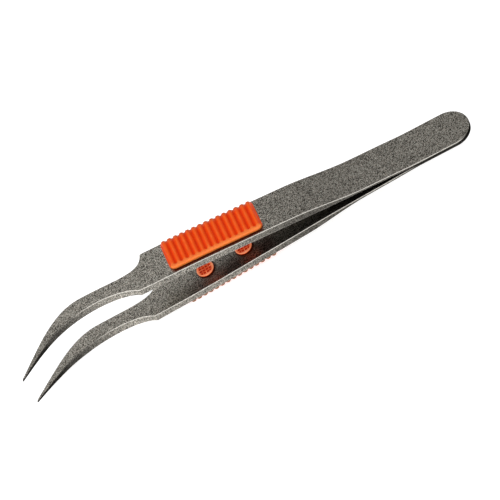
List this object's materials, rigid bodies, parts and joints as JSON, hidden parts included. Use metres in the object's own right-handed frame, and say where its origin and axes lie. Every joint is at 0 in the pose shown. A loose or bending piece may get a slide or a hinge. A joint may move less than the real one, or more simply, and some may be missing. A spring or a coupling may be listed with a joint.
{
  "type": "precision tweezers",
  "caption": "Spring tweezers with fine sideways-curved points, speckled matte steel arms welded at the tail, and orange ribbed grips held by round studs.",
  "frame": {"origin": "centre of the bounding box at rest", "axes": "+X runs along the tweezers towards the welded tail, +Z is the opening direction towards the upper arm, and the points curve towards -Y"},
  "size_m": [0.12, 0.0174, 0.0136],
  "materials": {
    "coated_steel": "matte, finely speckled",
    "orange_plastic": "satin",
    "weld_metal": "bare"
  },
  "bodies": {
    "tail": {"upper_spring_leaf": "coated_steel", "lower_spring_leaf": "coated_steel", "front_weld": "weld_metal", "rear_weld": "weld_metal"},
    "upper_half": {"upper_arm": "coated_steel", "upper_grip": "orange_plastic", "upper_front_stud": "orange_plastic", "upper_rear_stud": "orange_plastic"},
    "lower_half": {"lower_arm": "coated_steel", "lower_grip": "orange_plastic", "lower_front_stud": "orange_plastic", "lower_rear_stud": "orange_plastic"}
  },
  "joints": [
    {"name": "upper_squeeze", "type": "hinge", "parent": "tail", "child": "upper_half", "pos_m": [0.037, 0.00345, 0.00078], "axis": [0, -1, 0], "range_deg": [0, 2.5], "stiffness_Nm_per_rad": 1.8},
    {"name": "lower_squeeze", "type": "hinge", "parent": "tail", "child": "lower_half", "pos_m": [0.037, 0.00345, -0.00078], "axis": [0, 1, 0], "range_deg": [0, 2.5], "stiffness_Nm_per_rad": 1.8}
  ]
}
